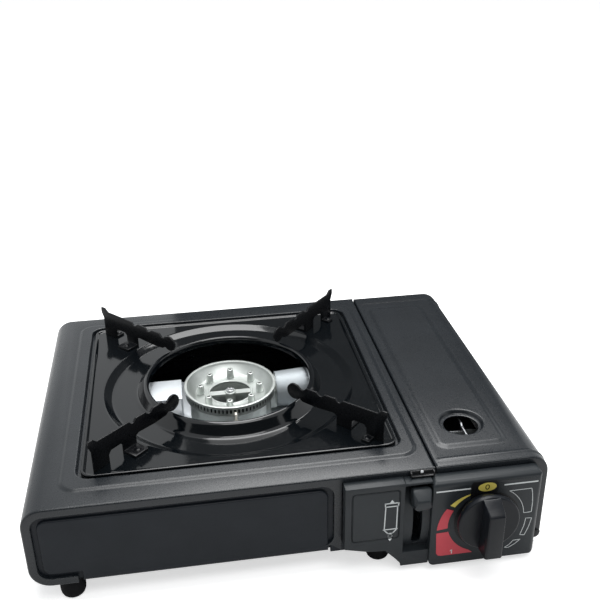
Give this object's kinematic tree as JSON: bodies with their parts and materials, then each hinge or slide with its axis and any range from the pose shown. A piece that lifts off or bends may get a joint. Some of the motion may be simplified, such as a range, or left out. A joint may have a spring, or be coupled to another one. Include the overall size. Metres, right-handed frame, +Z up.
{
  "type": "butane cassette stove",
  "caption": "Portable tabletop gas stove: pressed steel body, slotted burner in a lift-off drip tray with pan supports, hinged cartridge lid, locking lever and rotary control knob.",
  "frame": {"origin": "middle of the footprint's bounding box, on the table under the rubber feet", "axes": "+X to the right, towards the cartridge bay; +Y to the back; +Z up"},
  "size_m": [0.342, 0.29, 0.102],
  "materials": {
    "body_coat": "satin",
    "zinc_sheet": "satin",
    "bezel_plastic": "matte",
    "knob_plastic": "satin",
    "brass": "satin",
    "cast_alloy": "satin",
    "bright_sheet": "polished",
    "bright_screw": "polished",
    "rubber": "matte",
    "ceramic": "matte",
    "insulation": "gloss",
    "tray_enamel": "gloss",
    "support_enamel": "satin"
  },
  "bodies": {
    "body": {"housing": "body_coat", "front_panel": "body_coat", "rear_panel": "body_coat", "base_plate": "body_coat", "divider_wall": "zinc_sheet", "bay_front": "zinc_sheet", "bay_cradle": "zinc_sheet", "hinge_pins": "bright_screw", "control_bezel": "bezel_plastic", "lever_bracket": "zinc_sheet", "lever_pivot": "bright_screw", "lever_catch": "bright_sheet", "catch_rivet": "cast_alloy", "carrier_studs": "bright_screw", "regulator_body": "cast_alloy", "regulator_cover": "zinc_sheet", "regulator_screws": "bright_screw", "inlet_seal": "rubber", "cartridge_stop": "zinc_sheet", "gas_tube": "brass", "tube_nuts": "brass", "jet": "brass", "jet_bracket": "zinc_sheet", "mixing_tube": "cast_alloy", "burner_bowl": "cast_alloy", "burner_head": "cast_alloy", "burner_screw": "bright_screw", "burner_bracket": "bright_sheet", "heat_plate": "bright_sheet", "heat_plate_studs": "zinc_sheet", "igniter_body": "bezel_plastic", "igniter_wire": "insulation", "spark_electrode": "ceramic", "electrode_clip": "zinc_sheet", "bezel_screws": "bright_screw", "feet": "rubber", "foot_screws": "bright_screw", "rear_screws": "bright_screw"},
    "lid": {"lid": "body_coat"},
    "knob": {"knob": "knob_plastic", "knob_spindle": "brass", "igniter_cam": "bezel_plastic"},
    "lever": {"lever_arm": "zinc_sheet", "lever_handle": "bezel_plastic"},
    "carrier": {"cartridge_carrier": "zinc_sheet"},
    "plunger": {"igniter_plunger": "insulation"},
    "tray": {"drip_tray": "tray_enamel", "pan_support_front_left": "support_enamel", "pan_support_front_right": "support_enamel", "pan_support_rear_right": "support_enamel", "pan_support_rear_left": "support_enamel", "support_rivets": "zinc_sheet"}
  },
  "joints": [
    {"name": "lid_hinge", "type": "hinge", "parent": "body", "child": "lid", "pos_m": [0.166, 0, 0.013], "axis": [0, 1, 0], "range_deg": [0, 90]},
    {"name": "knob_turn", "type": "hinge", "parent": "body", "child": "knob", "pos_m": [0.122, -0.121, 0.0475], "axis": [0, -1, 0], "range_deg": [0, 130]},
    {"name": "lever_pivot_joint", "type": "hinge", "parent": "body", "child": "lever", "pos_m": [0.08, -0.063, 0.04], "axis": [1, 0, 0], "range_deg": [0, 34]},
    {"name": "carrier_slide", "type": "slide", "parent": "body", "child": "carrier", "axis": [0, -1, 0], "range_m": [0, 0.0068]},
    {"name": "plunger_slide", "type": "slide", "parent": "body", "child": "plunger", "axis": [-1, 0, 0], "range_m": [0, 0.0036]},
    {"name": "tray_lift", "type": "slide", "parent": "body", "child": "tray", "axis": [0, 0, 1], "range_m": [0, 0.06]}
  ],
  "couplings": [
    {"joint": "carrier_slide", "follows": "lever_pivot_joint", "m_per_rad": 0.011305},
    {"joint": "plunger_slide", "follows": "knob_turn", "m_per_rad": 0.0015425}
  ]
}
